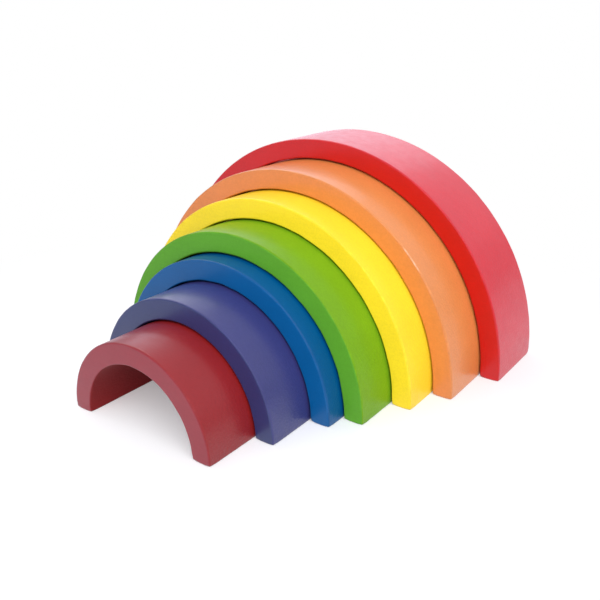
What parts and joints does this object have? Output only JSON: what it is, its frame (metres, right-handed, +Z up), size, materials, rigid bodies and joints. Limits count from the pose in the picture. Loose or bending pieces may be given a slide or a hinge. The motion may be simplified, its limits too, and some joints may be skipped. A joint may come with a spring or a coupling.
{
  "type": "rainbow stacker",
  "caption": "Set of nesting half-round wooden arches in rainbow colours, drawn out of one another into a stepped tunnel.",
  "frame": {"origin": "centre of the set's outline on the floor, arches set out as in the picture", "axes": "+X across the arches, +Y from the smallest arch at the front to the largest at the back, +Z up"},
  "size_m": [0.25, 0.2074, 0.1258],
  "materials": {
    "red_paint": "solid wood with satin red paint",
    "orange_paint": "solid wood with satin orange paint",
    "yellow_paint": "solid wood with satin yellow paint",
    "green_paint": "solid wood with satin green paint",
    "blue_paint": "solid wood with satin blue paint",
    "purple_paint": "solid wood with satin purple paint",
    "maroon_paint": "solid wood with satin maroon paint"
  },
  "bodies": {
    "red": {"red_arch": "red_paint"},
    "orange": {"orange_arch": "orange_paint"},
    "yellow": {"yellow_arch": "yellow_paint"},
    "green": {"green_arch": "green_paint"},
    "blue": {"blue_arch": "blue_paint"},
    "purple": {"purple_arch": "purple_paint"},
    "maroon": {"maroon_arch": "maroon_paint"}
  },
  "joints": [
    {"name": "orange_slide", "type": "slide", "parent": "red", "child": "orange", "axis": [0, -1, 0], "range_m": [-0.08304, 0.01296]},
    {"name": "yellow_slide", "type": "slide", "parent": "orange", "child": "yellow", "axis": [0, -1, 0], "range_m": [-0.07104, 0.02496]},
    {"name": "green_slide", "type": "slide", "parent": "yellow", "child": "green", "axis": [0, -1, 0], "range_m": [-0.07584, 0.02016]},
    {"name": "blue_slide", "type": "slide", "parent": "green", "child": "blue", "axis": [0, -1, 0], "range_m": [-0.06, 0.036]},
    {"name": "purple_slide", "type": "slide", "parent": "blue", "child": "purple", "axis": [0, -1, 0], "range_m": [-0.07776, 0.01824]},
    {"name": "maroon_slide", "type": "slide", "parent": "purple", "child": "maroon", "axis": [0, -1, 0], "range_m": [-0.07968, 0.01632]}
  ]
}
